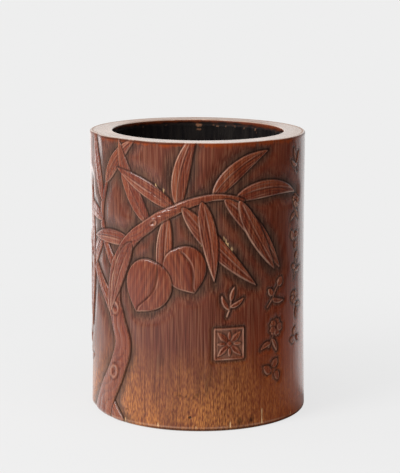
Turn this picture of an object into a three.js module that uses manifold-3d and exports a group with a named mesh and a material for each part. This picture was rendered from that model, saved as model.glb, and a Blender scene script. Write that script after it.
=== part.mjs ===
// A carved bamboo brush pot, as a turner and a lacquer worker would put it together:
// a thick bamboo tube, a wooden floor disc let in from below against a shoulder, four small
// pegs driven in from the side to hold the disc, and a coat of lacquer over the inside. The main
// forms of the carving, a peach tree in low relief, stand out from the tube.
// Millimetres, +Z up. The origin is the centre of the foot, and the front faces -Y.

import * as THREE from "three";
import { mergeVertices } from "three/addons/utils/BufferGeometryUtils.js";
import Module from "manifold-3d";

const wasm = await Module();
wasm.setup();

// Driving dimensions of the bamboo tube
const potHeight = 150;
const rimOuterRadius = 57;
const rimWall = 11.3;
const footSpread = 1;
const footSpreadHeight = 90;
const footSpreadPower = 1.5;
const rimOuterRound = 1.2;
const rimInnerRound = 1.6;
const footOuterRound = 1.3;
const footInnerRound = 0.6;

// Driving dimensions of the floor disc and its seat
const shoulderWidth = 3;
const discThickness = 10;
const discRecess = 2.5;
const discEdgeChamfer = 0.8;

// Driving dimensions of the pegs
const pegCount = 4;
const pegFrontRadius = 0.6;
const pegTipRadius = 0.5;
const pegReachInDisc = 9;
const pegFrontInset = 0.25;
const firstPegAngle = THREE.MathUtils.degToRad(-4);

// Driving dimensions of the lacquer coat
const lacquerThickness = 0.5;
const bareBandBelowRim = 2.8;
const lacquerCornerRadius = 1.5;

// Driving dimensions of the relief: how high a motif's middle stands, the share of it that its
// edges have, and how far it is rooted in the tube
const boughHeight = 0.95;
const leafHeight = 0.6;
const frontLeafHeight = 0.85;
const peachHeight = 0.9;
const frameHeight = 0.55;
const edgeShare = 0.6;
const reliefRoot = 1.5;
const reliefMargin = 1.4;

// The picture is drawn for a wall of this radius and height, and stretches with the pot. A
// bough is a row of points: to the right of the front, up from the foot, and its width.
const pictureRadius = 57;
const pictureHeight = 150;
const boughs = [
  [[-62, 1, 17.5], [-60, 8, 15.5], [-49, 26, 13], [-44, 44, 11.6], [-50, 62, 11], [-49, 80, 10],
    [-39, 96, 8.8], [-25, 108, 7.6], [-9, 117, 6.2], [6, 122, 5], [17, 122, 3.6], [24, 120, 2.2]],
  [[-58, 13, 8], [-50, 5, 7], [-45, 1, 6]],
  [[-50, 58, 8], [-61, 70, 7], [-75, 84, 6], [-90, 94, 5.2], [-108, 98, 4.2], [-124, 93, 2.6]],
  [[-48, 80, 6], [-58, 94, 5], [-62, 110, 3.8], [-57, 126, 2.4]],
];

// A leaf is where it starts, its angle, length, width and bend in degrees
const leavesBehind = [
  [-61, 106, 160, 40, 11, 30], [-61, 116, 116, 40, 11, -22], [-57, 126, 62, 34, 10.5, -30],
  [-60, 98, 222, 38, 11, 22], [-26, 107, 128, 48, 12, -26], [-38, 97, 172, 34, 10.5, 20],
  [-10, 117, 92, 42, 12, -34], [-12, 116, 146, 40, 11, 12], [8, 122, 56, 40, 12, -40],
  [-16, 112, 262, 46, 12, 12], [20, 121, 22, 44, 12, -44], [-74, 84, 108, 42, 11, -25],
  [-90, 94, 135, 42, 11.5, -20], [-108, 98, 98, 40, 11, 25], [-110, 98, 205, 38, 10.5, 30],
  [-124, 93, 168, 42, 11, 30],
];
const leavesInFront = [
  [-37, 97, 238, 42, 12, 20], [-8, 117, 308, 58, 13.5, 12], [2, 120, 284, 42, 12, -10],
  [14, 121, 320, 52, 13, -16], [22, 120, 296, 44, 12, 10], [-74, 84, 252, 40, 11, 18],
  [-88, 93, 226, 38, 11, 25], [-93, 94, 274, 46, 12, 14], [-123, 93, 222, 40, 11, 20],
  [-110, 97, 262, 42, 11.5, -15],
];

// A peach is its centre, its radius and the angle of its point
const peaches = [[-7, 86, 11.5, 292], [-27, 76, 13.5, 244], [-100, 73, 12.5, 262]];

// The raised square frame: its centre, width, height and the width of its line
const squareFrame = { along: 16.5, up: 46, width: 16.5, tall: 17, line: 1.1 };

// Clearances: a glue line round the disc, the lacquer's own line, and a peg's hole
const glueLine = 0.25;
const lacquerLine = 0.2;
const pegClearance = 0.2;

// Fineness of the round shapes
const turnSteps = 72;
const roundSteps = 3;
const spreadSteps = 6;
const pegSides = 12;
const leafStations = [0, 0.16, 0.42, 0.74, 1];
const peachSides = 12;
const widestStep = 10;

// Places that follow from the driving dimensions
const boreRadius = rimOuterRadius - rimWall;
const seatRadius = boreRadius + shoulderWidth;
const discRadius = seatRadius - glueLine;
const discTop = discRecess + discThickness;
const shoulderHeight = discTop + glueLine;
const lacquerOuterRadius = boreRadius - lacquerLine;
const lacquerInnerRadius = lacquerOuterRadius - lacquerThickness;
const lacquerBottom = discTop + lacquerLine;
const lacquerFloor = lacquerBottom + lacquerThickness;
const lacquerTop = potHeight - bareBandBelowRim;
const pegHeight = discRecess + discThickness / 2;

const bamboo = new THREE.MeshStandardMaterial({ color: 0x80503e, roughness: 0.42, metalness: 0 });
const discWood = new THREE.MeshStandardMaterial({ color: 0x5e3d2a, roughness: 0.6, metalness: 0 });
const pegBamboo = new THREE.MeshStandardMaterial({ color: 0x4a3122, roughness: 0.5, metalness: 0 });
const blackLacquer = new THREE.MeshStandardMaterial({ color: 0x1c1311, roughness: 0.3, metalness: 0 });

// The tube's outside is straight above, and spreads gently towards the foot
function outerRadiusAt(height) {
  const drop = Math.max(0, footSpreadHeight - height) / footSpreadHeight;
  return rimOuterRadius + footSpread * drop ** footSpreadPower;
}

// Points of a round edge, from one angle to another about its centre, as radius and height
function roundEdge(centreRadius, centreHeight, size, startDegrees, endDegrees) {
  const points = [];
  for (let step = 0; step <= roundSteps; step += 1) {
    const share = step / roundSteps;
    const angle = THREE.MathUtils.degToRad(startDegrees + (endDegrees - startDegrees) * share);
    const radius = centreRadius + size * Math.cos(angle);
    const height = centreHeight + size * Math.sin(angle);
    points.push(new THREE.Vector2(radius, height));
  }
  return points;
}

// The outline runs up the outside and down the inside, and turns about the upright axis
function turned(outline) {
  const geometry = new THREE.LatheGeometry(outline, turnSteps);
  geometry.rotateX(Math.PI / 2);
  return geometry;
}

function pieceFrom(name, geometry, material) {
  const mesh = new THREE.Mesh(geometry, material);
  mesh.name = name;
  return mesh;
}

// A closed mesh as a solid that can be cut: shared corners are merged, and the slivers that
// a turned shape leaves on its axis are dropped
function solidFrom(geometry) {
  const bare = geometry.clone();
  bare.deleteAttribute("normal");
  bare.deleteAttribute("uv");
  const merged = mergeVertices(bare, 1e-4);
  const corners = merged.getIndex().array;
  const kept = [];
  for (let first = 0; first < corners.length; first += 3) {
    const [a, b, c] = corners.slice(first, first + 3);
    if (a !== b && b !== c && c !== a) {
      kept.push(a, b, c);
    }
  }
  const vertProperties = new Float32Array(merged.getAttribute("position").array);
  const triVerts = new Uint32Array(kept);
  return new wasm.Manifold(new wasm.Mesh({ numProp: 3, vertProperties, triVerts }));
}

function geometryFrom(solid) {
  const { vertProperties, triVerts } = solid.getMesh();
  const geometry = new THREE.BufferGeometry();
  geometry.setAttribute("position", new THREE.BufferAttribute(vertProperties, 3));
  geometry.setIndex(new THREE.BufferAttribute(triVerts, 1));
  geometry.computeVertexNormals();
  return geometry;
}

// A place that points straight out of the tube at an angle from the front, at the pegs' height
function pegPlace(index, middleRadius) {
  const angle = firstPegAngle + (index * 2 * Math.PI) / pegCount;
  const place = new THREE.Object3D();
  place.position.set(middleRadius * Math.sin(angle), -middleRadius * Math.cos(angle), pegHeight);
  place.rotation.z = angle + Math.PI;
  place.updateMatrix();
  return place;
}

// Pegs taper inwards, and their front ends lie just under the tube's surface
const pegFront = outerRadiusAt(pegHeight) - pegFrontInset;
const pegTip = discRadius - pegReachInDisc;
const pegLength = pegFront - pegTip;
const pegMiddle = (pegFront + pegTip) / 2;

function pegHole(index) {
  const front = pegFront + 2 * footOuterRound;
  const tip = pegTip - glueLine;
  const radius = pegFrontRadius + pegClearance;
  const hole = new THREE.CylinderGeometry(radius, radius, front - tip, pegSides);
  hole.applyMatrix4(pegPlace(index, (front + tip) / 2).matrix);
  return solidFrom(hole);
}

function withPegHoles(whole) {
  let solid = whole;
  for (let index = 0; index < pegCount; index += 1) {
    solid = solid.subtract(pegHole(index));
  }
  return geometryFrom(solid);
}

// A place in the picture, laid round the tube and standing out from it
function onWall(along, up, out) {
  const height = (up * potHeight) / pictureHeight;
  const angle = along / pictureRadius;
  const radius = outerRadiusAt(height) + out;
  return [radius * Math.sin(angle), -radius * Math.cos(angle), height];
}

// A closed body from a row of loops with as many corners each, capped by a fan at both ends
function loftOf(loops) {
  const count = loops[0].length;
  const corners = [];
  for (let row = 0; row + 1 < loops.length; row += 1) {
    for (let side = 0; side < count; side += 1) {
      const low = row * count + side;
      const next = row * count + ((side + 1) % count);
      corners.push(low, next, next + count, low, next + count, low + count);
    }
  }
  const last = (loops.length - 1) * count;
  for (let side = 1; side + 1 < count; side += 1) {
    corners.push(0, side + 1, side, last, last + side, last + side + 1);
  }
  const vertProperties = new Float32Array(loops.flat(2));
  const body = new wasm.Manifold(
    new wasm.Mesh({ numProp: 3, vertProperties, triVerts: new Uint32Array(corners) }),
  );
  const trimmed = body.trimByPlane([0, 0, 1], reliefMargin);
  return trimmed.trimByPlane([0, 0, -1], reliefMargin - potHeight);
}

// Points added to a line so that its straight steps follow the tube's roundness
function roundTheTube(coarse) {
  const line = [coarse[0]];
  for (let index = 1; index < coarse.length; index += 1) {
    const from = coarse[index - 1];
    const to = coarse[index];
    const steps = Math.ceil(Math.abs(to[0] - from[0]) / widestStep);
    for (let step = 1; step < steps; step += 1) {
      line.push(from.map((value, part) => value + ((to[part] - value) * step) / steps));
    }
    line.push(to);
  }
  return line;
}

// A ribbon along a line of [along, up, width], with a raised middle and square edges
function ribbon(coarse, height) {
  const line = roundTheTube(coarse);
  const loops = line.map(([along, up, width], index) => {
    const before = line[Math.max(0, index - 1)];
    const after = line[Math.min(line.length - 1, index + 1)];
    const heading = Math.atan2(after[1] - before[1], after[0] - before[0]);
    const acrossX = -Math.sin(heading) * (width / 2);
    const acrossY = Math.cos(heading) * (width / 2);
    const section = [[-1, -reliefRoot], [1, -reliefRoot], [1, edgeShare * height], [0, height]];
    section.push([-1, edgeShare * height]);
    return section.map(([side, out]) => onWall(along + side * acrossX, up + side * acrossY, out));
  });
  return loftOf(loops);
}

// A long leaf: it widens early, draws out to a tip, and turns evenly by its bend
function leafBody([along, up, angle, length, width, bend], height) {
  const line = [];
  let place = [along, up];
  let gone = 0;
  for (const share of leafStations) {
    const heading = THREE.MathUtils.degToRad(angle + (bend * (share + gone)) / 2);
    const step = (share - gone) * length;
    place = [place[0] + step * Math.cos(heading), place[1] + step * Math.sin(heading)];
    gone = share;
    const fullness = (share ** 0.62 * (1 - share) ** 0.95) / 0.485;
    line.push([...place, width * fullness + 0.5]);
  }
  return ribbon(line, height);
}

// A peach: rings that rise to a flat middle, drawn out on one side to a point
function peachBody([along, up, size, pointAngle]) {
  const turn = THREE.MathUtils.degToRad(pointAngle);
  const rings = [[1, -reliefRoot], [1, 0.5 * peachHeight], [0.75, 0.8 * peachHeight], [0.35, peachHeight]];
  const loops = rings.map(([share, out]) => {
    const loop = [];
    for (let side = 0; side < peachSides; side += 1) {
      const bearing = (side * 2 * Math.PI) / peachSides;
      const off = Math.min(bearing, 2 * Math.PI - bearing);
      const reach = size * share * (1 + 0.24 * Math.exp(-((off / 0.3) ** 1.15)));
      const x = along + reach * Math.cos(turn + bearing);
      const y = up + reach * Math.sin(turn + bearing);
      loop.push(onWall(x, y, out));
    }
    return loop;
  });
  return loftOf(loops);
}

// The square frame's four bars
function frameBodies() {
  const { along, up, width, tall, line } = squareFrame;
  const x = (width - line) / 2;
  const y = (tall - line) / 2;
  const bars = [
    [[along - x, up - tall / 2], [along - x, up + tall / 2]],
    [[along + x, up - tall / 2], [along + x, up + tall / 2]],
    [[along - width / 2, up - y], [along + width / 2, up - y]],
    [[along - width / 2, up + y], [along + width / 2, up + y]],
  ];
  return bars.map(([start, end]) => ribbon([[...start, line], [...end, line]], frameHeight));
}

// The main forms of the carving, rooted in the tube
function withRelief(wall) {
  const bodies = [
    ...boughs.map((line) => ribbon(line, boughHeight)),
    ...leavesBehind.map((leaf) => leafBody(leaf, leafHeight)),
    ...leavesInFront.map((leaf) => leafBody(leaf, frontLeafHeight)),
    ...peaches.map((peach) => peachBody(peach)),
    ...frameBodies(),
  ];
  return bodies.reduce((solid, body) => solid.add(body), wall);
}

function culmWall() {
  const outside = [];
  for (let step = 1; step <= spreadSteps; step += 1) {
    const height = footOuterRound + ((footSpreadHeight - footOuterRound) * step) / spreadSteps;
    outside.push(new THREE.Vector2(outerRadiusAt(height), height));
  }
  const footRadius = outerRadiusAt(footOuterRound);
  const outline = [
    ...roundEdge(footRadius - footOuterRound, footOuterRound, footOuterRound, -90, 0),
    ...outside,
    ...roundEdge(rimOuterRadius - rimOuterRound, potHeight - rimOuterRound, rimOuterRound, 0, 90),
    ...roundEdge(boreRadius + rimInnerRound, potHeight - rimInnerRound, rimInnerRound, 90, 180),
    new THREE.Vector2(boreRadius, shoulderHeight),
    new THREE.Vector2(seatRadius, shoulderHeight),
    ...roundEdge(seatRadius + footInnerRound, footInnerRound, footInnerRound, 180, 270),
  ];
  outline.push(outline[0].clone());
  return withPegHoles(withRelief(solidFrom(turned(outline))));
}

function baseDisc() {
  const outline = [
    new THREE.Vector2(0, discRecess),
    new THREE.Vector2(discRadius - discEdgeChamfer, discRecess),
    new THREE.Vector2(discRadius, discRecess + discEdgeChamfer),
    new THREE.Vector2(discRadius, discTop),
    new THREE.Vector2(0, discTop),
  ];
  return withPegHoles(solidFrom(turned(outline)));
}

function lacquerLining() {
  const cornerRadius = lacquerInnerRadius - lacquerCornerRadius;
  const cornerHeight = lacquerFloor + lacquerCornerRadius;
  const outline = [
    new THREE.Vector2(0, lacquerBottom),
    new THREE.Vector2(lacquerOuterRadius, lacquerBottom),
    new THREE.Vector2(lacquerOuterRadius, lacquerTop),
    new THREE.Vector2(lacquerInnerRadius, lacquerTop),
    ...roundEdge(cornerRadius, cornerHeight, lacquerCornerRadius, 0, -90),
    new THREE.Vector2(0, lacquerFloor),
  ];
  return turned(outline);
}

function basePeg(index) {
  const geometry = new THREE.CylinderGeometry(pegFrontRadius, pegTipRadius, pegLength, pegSides);
  const peg = pieceFrom(`base_peg_${index + 1}`, geometry, pegBamboo);
  const place = pegPlace(index, pegMiddle);
  peg.position.copy(place.position);
  peg.rotation.copy(place.rotation);
  return peg;
}

const brushPot = new THREE.Group();
brushPot.name = "brush_pot";
brushPot.add(pieceFrom("culm_wall", culmWall(), bamboo));
brushPot.add(pieceFrom("base_disc", baseDisc(), discWood));
brushPot.add(pieceFrom("lacquer_lining", lacquerLining(), blackLacquer));
for (let index = 0; index < pegCount; index += 1) {
  brushPot.add(basePeg(index));
}

export default brushPot;
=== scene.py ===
# Looks for a carved bamboo brush pot: a thick bamboo tube carved in low relief with a fruiting
# peach bough and fallen blossom, lacquered black inside, with a wooden floor disc and four pegs.
# Blender works in metres. The carving and all sizes here are in millimetres, +Z up, front to -Y.

import math

import bpy
import numpy as np
from mathutils import Matrix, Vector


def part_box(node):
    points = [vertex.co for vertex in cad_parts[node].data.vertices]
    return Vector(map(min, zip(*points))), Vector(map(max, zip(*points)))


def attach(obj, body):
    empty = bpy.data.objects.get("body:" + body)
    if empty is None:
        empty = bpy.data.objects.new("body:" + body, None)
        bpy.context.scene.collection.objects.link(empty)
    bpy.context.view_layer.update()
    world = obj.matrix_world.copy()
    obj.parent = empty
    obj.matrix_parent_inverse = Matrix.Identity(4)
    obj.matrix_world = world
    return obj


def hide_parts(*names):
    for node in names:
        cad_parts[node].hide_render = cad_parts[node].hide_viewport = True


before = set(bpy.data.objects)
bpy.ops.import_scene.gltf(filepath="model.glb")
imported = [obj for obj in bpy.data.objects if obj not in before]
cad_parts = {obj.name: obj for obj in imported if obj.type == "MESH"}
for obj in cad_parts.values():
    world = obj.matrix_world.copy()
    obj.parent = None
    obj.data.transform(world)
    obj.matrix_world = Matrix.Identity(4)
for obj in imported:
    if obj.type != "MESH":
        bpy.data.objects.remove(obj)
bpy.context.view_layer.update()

MM = 0.001
BODY = "root"


def box_mm(node):
    """A node's lowest and highest corner in millimetres."""
    low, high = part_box(node)
    return np.array(low) / MM, np.array(high) / MM


# Sizes read from the frame
POT_HEIGHT = box_mm("culm_wall")[1][2]
disc_low, disc_high = box_mm("base_disc")
lacquer_low, lacquer_high = box_mm("lacquer_lining")
DISC_RADIUS = disc_high[0]
DISC_BOTTOM = disc_low[2]
DISC_TOP = disc_high[2]
LACQUER_RADIUS = lacquer_high[0]
LACQUER_BOTTOM = lacquer_low[2]
LACQUER_TOP = lacquer_high[2]

# Sizes of the tube that its box doesn't tell
RIM_RADIUS = 57.0
FOOT_SPREAD = 1.0
SPREAD_HEIGHT = 90.0
SPREAD_POWER = 1.5
RIM_OUTER_ROUND = 0.8
RIM_INNER_ROUND = 0.6
FOOT_OUTER_ROUND = 1.3
FOOT_INNER_ROUND = 0.6
LACQUER_LINE = 0.2
LACQUER_THICKNESS = 0.5
LACQUER_CORNER = 1.5
GLUE_LINE = 0.25
BORE_RADIUS = LACQUER_RADIUS + LACQUER_LINE
SEAT_RADIUS = DISC_RADIUS + GLUE_LINE
SHOULDER_HEIGHT = DISC_TOP + GLUE_LINE
DISC_CHAMFER = 0.8
PEG_BEARINGS = [math.radians(90 * quarter - 4) for quarter in range(4)]
PEG_HEIGHT = (DISC_BOTTOM + DISC_TOP) / 2
PEG_FRONT_RADIUS = 0.6
PEG_TIP_RADIUS = 0.5
PEG_REACH = 9.0
PEG_INSET = 0.25
# Rings round the axis end at this small radius, where one face closes them
HUB_RADIUS = 0.4

# Fineness of the carved wall's mesh
COLUMNS = 1000
WALL_ROWS = 400

# How far the tube leans to the left, because its ends are sawn a little askew
LEAN = math.tan(math.radians(0.43))

# How far the motifs stand up, as a share of their drawn height, how deep the ground is cut round
# them, and how far it runs out
RELIEF = 0.8
GROUND_DEPTH = 0.95
GROUND_FLAT = 1.2
GROUND_REACH = 8.5
SMALL_DEPTH = 0.36
SMALL_FLAT = 0.7
SMALL_REACH = 3.4

# Once round the pot, and a distance beyond all others
TURN = 2 * math.pi * RIM_RADIUS
FAR_OFF = 99.0


def outer_radius(height):
    drop = np.maximum(0, SPREAD_HEIGHT - height) / SPREAD_HEIGHT
    return RIM_RADIUS + FOOT_SPREAD * drop**SPREAD_POWER


def smooth(low, high, value):
    """0 below low, 1 above high, and an even curve between."""
    share = np.clip((value - low) / (high - low), 0, 1)
    return share * share * (3 - 2 * share)


def between(start, full, waning, end, value):
    """0 up to start, 1 from full to waning, and 0 again from end on."""
    return smooth(start, full, value) * (1 - smooth(waning, end, value))


def bell(value, width):
    return np.exp(-((value / width) ** 2))


def nearest(value, centre, whole=TURN):
    """How far a value lies from a centre, the short way round a whole turn."""
    return (value - centre + whole / 2) % whole - whole / 2


def heading(degrees):
    """The cosine and sine of an angle in degrees: a unit vector."""
    return np.array([math.cos(math.radians(degrees)), math.sin(math.radians(degrees))])


# The carving, on the unrolled wall


class Carving:
    """The unrolled wall: along is mm to the right of the front, up is mm above the foot."""

    def __init__(self):
        columns = (np.arange(COLUMNS) / COLUMNS - 0.5) * TURN
        rows = np.linspace(0, POT_HEIGHT, WALL_ROWS)
        self.along, self.up = np.meshgrid(columns, rows)
        # lip gathers pale rubbed lines that are partly painted highlight, corner gathers painted shade
        # beside motifs and in grooves
        self.height, self.polish, self.lip, self.corner = np.zeros((4, *self.along.shape))
        self.strand = np.full(self.along.shape, 0.5)
        self.apart, self.apart_small = np.full((2, *self.along.shape), FAR_OFF)

    def window(self, low, high, margin):
        """The part of the wall round a motif, as an index pair."""
        rows = (self.up[:, 0] >= low[1] - margin) & (self.up[:, 0] <= high[1] + margin)
        columns = (self.along[0] >= low[0] - margin) & (self.along[0] <= high[0] + margin)
        return np.ix_(np.flatnonzero(rows), np.flatnonzero(columns))

    def round_about(self, centre, reach):
        """The part of the wall within reach of a centre, and x and y from the centre there."""
        window = self.window(centre, centre, reach)
        return window, self.along[window] - centre[0], self.up[window] - centre[1]


def spline(points, steps=14):
    """A smooth line through given points, which may carry a width as well."""
    points = np.array(points, float)
    ends = np.vstack([2 * points[0] - points[1], points, 2 * points[-1] - points[-2]])
    made = []
    for a, b, c, d in zip(ends, ends[1:], ends[2:], ends[3:]):
        for share in np.arange(steps) / steps:
            square = (2 * a - 5 * b + 4 * c - d) * share**2
            cube = (3 * b - a - 3 * c + d) * share**3
            made.append(0.5 * (2 * b + (c - a) * share + square + cube))
    made.append(points[-1])
    return np.array(made)


def swept(start, angle, length, bend, steps=25):
    """A line that sets out at an angle and turns evenly by bend degrees."""
    turns = np.radians(angle + bend * np.linspace(0, 1, steps))
    moves = np.stack([np.cos(turns), np.sin(turns)], 1) * length / steps
    return np.vstack([[start], np.array(start) + np.cumsum(moves, axis=0)])


def beside(carving, line, margin, small):
    """The part of the wall round a line, and for each spot there: how far it lies from the line, on
    which side, and how far along the line, whose whole length comes last."""
    margin += 1 + (SMALL_REACH if small else GROUND_REACH)
    window = carving.window(line[:, :2].min(0), line[:, :2].max(0), margin)
    x, y = carving.along[window], carving.up[window]
    starts, steps = line[:-1, :2], np.diff(line[:, :2], axis=0)
    lengths = np.hypot(steps[:, 0], steps[:, 1])
    gone = np.concatenate([[0], np.cumsum(lengths)])
    best = np.full(x.shape, np.inf)
    offset, along = np.zeros((2, *x.shape))
    for start, step, length, before in zip(starts, steps, lengths, gone):
        dx, dy = x - start[0], y - start[1]
        at = np.clip((dx * step[0] + dy * step[1]) / length**2, 0, 1)
        far = np.hypot(dx - at * step[0], dy - at * step[1])
        near = far < best
        side = np.sign(step[0] * dy - step[1] * dx)
        best = np.where(near, far, best)
        offset = np.where(near, side * far, offset)
        along = np.where(near, before + at * length, along)
    return window, best, offset, along, gone[-1]


def settle(carving, window, inside, top, bevel, small=False, undercut=0.3, strand=0.5):
    """Lays a motif on the wall: its bevelled edge, a cut line into what lies beneath, the pale line
    along its edge, partly rubbed wear and partly painted highlight, the painted shade beside it and
    the strands cut into its back. Gives how far each spot belongs to the motif."""
    old = carving.height[window]
    cut = undercut * bell(np.maximum(-inside, 0), 0.7) * (inside <= 0) * smooth(0.1, 0.4, old)
    rise = smooth(-0.15, bevel, inside)
    carving.height[window] = (old - cut) * (1 - rise) + top * rise
    carving.polish[window] = np.maximum(carving.polish[window], rise)
    lighter = 0.25 if small else 0.0
    carving.strand[window] = carving.strand[window] * (1 - rise) + (strand + lighter) * rise
    # The pale lines are rubbed wear, brightened as painted highlight on edges that face down
    # and left, where the light falls; painted shade lies on the far side
    slope_up, slope_along = np.gradient(inside)
    steepness = np.maximum(np.hypot(slope_up, slope_along), 1e-6)
    lit_side = smooth(-1, 1, (0.8 * slope_along + 0.6 * slope_up) / steepness)
    draw(carving.lip, window, (0.3 + 0.75 * lit_side) * bell(inside - 0.35, 0.3), 1 - rise)
    # Painted shade beside the motif, stronger and wider on the side away from the light
    shade_strength = (0.72 if small else 1.0) * (1 - 0.45 * lit_side)
    shade_reach, shade_width = 0.35 - 0.1 * lit_side, 0.58 - 0.24 * lit_side
    draw(carving.corner, window, shade_strength * bell(inside + shade_reach, shade_width), 1 - rise)
    apart = carving.apart_small if small else carving.apart
    apart[window] = np.minimum(apart[window], np.maximum(-inside, 0))
    return rise


def draw(field, window, line, kept=1.0):
    """Adds a line to a field, over what is kept of it."""
    field[window] = np.maximum(field[window] * kept, line)


def leaf(carving, start, angle, length, width, bend=0.0, level=0.8, tilt=0.2, small=False):
    """A long leaf with a drawn-out tip, a cut midrib, faint slanting veins and one half lower."""
    line = swept(start, angle, length, bend)
    window, far, offset, along, whole = beside(carving, line, width / 2, small)
    share = along / whole
    shape = share**0.62 * (1 - share) ** 0.95 / 0.485
    half = width / 2 * shape + 0.12
    side = np.clip(offset / np.maximum(half, 0.2), -1, 1)
    rib = 0.12 * bell(np.abs(offset) - 0.7, 0.4) - 0.24 * bell(offset, 0.32)
    lip = 0.12 * bell(half - far - 0.8, 0.4)
    veins = 0.04 * np.sin(2 * np.pi * (along - 0.9 * np.abs(offset)) / 3.4)
    held = between(0, 0.1, 0.86, 1, share)
    detail = held * (rib * smooth(0.6, 1.3, half) + (veins + lip) * smooth(1.4, 2.6, half))
    top = level + 0.14 * (1 - side**2) + tilt * side * 0.5 + detail
    # The strands make one half of the leaf lighter and the other darker: painted light and shade
    strand = 0.5 + 0.3 * np.sin(4.4 * offset + 1.4 * np.sin(along / 5)) + 0.24 * side
    rise = settle(carving, window, half - far, top, 0.42, small, strand=strand)
    # The midrib's groove is painted dark as shade, with a painted highlight beside it and faint painted
    # highlight lines along both halves
    cut_in = rise * held * smooth(0.8, 1.6, half)
    draw(carving.corner, window, 0.62 * cut_in * bell(offset, 0.34))
    draw(carving.lip, window, 0.62 * cut_in * bell(offset - 0.75, 0.32))
    draw(carving.lip, window, 0.3 * cut_in * bell(np.abs(side) - 0.62, 0.1))


def bough(carving, points, level=0.95, small=False, bark=1.0, knots=()):
    """A branch: round back, twisted bark with cross marks, and healed knots at
    (share, across, size)."""
    line = spline(points)
    window, far, offset, along, whole = beside(carving, line, line[:, 2].max() / 2, small)
    half = np.interp(along / whole, np.linspace(0, 1, len(line)), line[:, 2]) / 2
    ripple = 0.07 * half * np.sin(along / 4.1 + 1.7 * np.sin(along / 11)) * np.sign(offset)
    side = np.clip(offset / np.maximum(half, 0.2), -1, 1)
    round_back = np.sqrt(np.maximum(0, 1 - side**2))
    top = level - 0.1 + 0.42 * round_back * smooth(0.3, 3, half)
    strands = np.abs(np.sin(side * 4.4 + along / 6.5 + 1.1 * np.sin(along / 3.7))) ** 0.6
    cross = np.maximum(0, np.sin(1.9 * along + 2.2 * np.sin(3.1 * side))) ** 5
    patches = smooth(-0.1, 0.5, np.sin(along / 5.3 + 2 * side))
    rough = (0.42 * strands + 0.2 * cross * patches) * smooth(1.2, 3.2, half)
    top = top + bark * rough * (1 - side**2)
    reaches = []
    for place, across, size in knots:
        reaches.append(np.hypot((along - place * whole) / 1.35, offset - across) / size)
    for reach in reaches:
        top = top + 0.28 * bell(reach - 0.85, 0.28) - 0.6 * bell(reach, 0.5)
    strand = 0.5 + 0.42 * (strands - 0.6) + 0.25 * cross * patches
    rise = settle(carving, window, half + ripple - far, top, 0.5, small, strand=strand)
    # Bark cracks and the knots' pits and outer rings are painted dark as shade, and the knots' raised rims
    # pale as painted highlight
    cracks = bell(strands, 0.3) * patches * smooth(1.2, 2.6, half)
    draw(carving.corner, window, 0.6 * bark * rise * cracks * (1 - side**2))
    for reach in reaches:
        draw(carving.corner, window, 0.85 * bell(reach, 0.3) + 0.6 * bell(reach - 1.2, 0.14))
        draw(carving.lip, window, 0.7 * bell(reach - 0.8, 0.16))


def peach(carving, centre, size, point_angle, level=0.75):
    """A peach: a full round with a drawn-out point, and a cleft that runs to it."""
    window, x, y = carving.round_about(centre, size + GROUND_REACH + 3)
    cosine, sine = heading(point_angle)
    out, across = x * cosine + y * sine, y * cosine - x * sine
    reach, bearing = np.hypot(out, across), np.abs(np.arctan2(across, out))
    point = 0.24 * np.exp(-((bearing / 0.3) ** 1.15))
    stalk_dip = 0.06 * bell(bearing - math.pi, 0.45)
    edge = size * (1 + point - stalk_dip)
    dome = np.sqrt(np.maximum(0, 1 - (reach / edge) ** 2))
    share = np.clip((out / size + 1) / 2, 0, 1)
    cleft_line = 0.32 * size * np.sin(share * np.pi) ** 1.2
    cleft = bell(across - cleft_line, 0.55) * smooth(-1.0, -0.7, out / size)
    swell = 0.1 * smooth(0, 2.5, across - cleft_line)
    top = level - 0.25 + 1.05 * dome**0.8 - 0.42 * cleft * smooth(0.1, 0.5, dome) - swell
    strand = 0.5 + 0.22 * np.sin(across * 1.9) * dome
    rise = settle(carving, window, edge - reach, top, 0.5, undercut=0.4, strand=strand)
    # The cleft is painted dark as shade, with a painted highlight along its side
    draw(carving.corner, window, 0.75 * rise * cleft)
    beside_cleft = bell(across - cleft_line - 0.9, 0.4) * smooth(-0.9, -0.6, out / size)
    draw(carving.lip, window, 0.5 * rise * beside_cleft)


def blossom(carving, centre, size, turn=0.0, level=0.62):
    """A five-petalled flower seen from the front: dished petals, a boss and stamens."""
    window, x, y = carving.round_about(centre, size + SMALL_REACH + 1)
    petal_radius = 0.43 * size
    for index in range(5):
        angle = turn + 72 * index
        middle = 0.56 * size * heading(angle)
        off_tip = nearest(np.arctan2(y - middle[1], x - middle[0]), math.radians(angle), 2 * math.pi)
        far = np.hypot(x - middle[0], y - middle[1])
        inside = petal_radius - 0.14 * size * bell(off_tip, 0.3) - far
        top = level + 0.16 * (far / petal_radius) ** 2 + 0.02 * index
        settle(carving, window, inside, top, 0.4, small=True, undercut=0.35)
    reach, bearing = np.hypot(x, y), np.arctan2(y, x)
    stamens = 0.2 * np.maximum(0, np.cos(bearing * 10 + turn)) * bell(reach - 0.3 * size, 0.14 * size)
    carving.height[window] += stamens + 0.28 * bell(reach, 0.15 * size)


def petal(carving, centre, angle, length=5.0, width=3.6, level=0.55):
    """A loose petal or a bud: blunt, dished, and raised towards its tip."""
    line = swept(centre - length / 2 * heading(angle), angle, length, 0, steps=12)
    window, far, offset, along, whole = beside(carving, line, width / 2, True)
    share = along / whole
    half = width / 2 * np.sqrt(np.maximum(0, np.sin(np.pi * share**0.75))) + 0.1
    top = level + 0.18 * (offset / (width / 2)) ** 2 + 0.1 * share
    settle(carving, window, half - far, top, 0.4, small=True, undercut=0.35)


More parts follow.
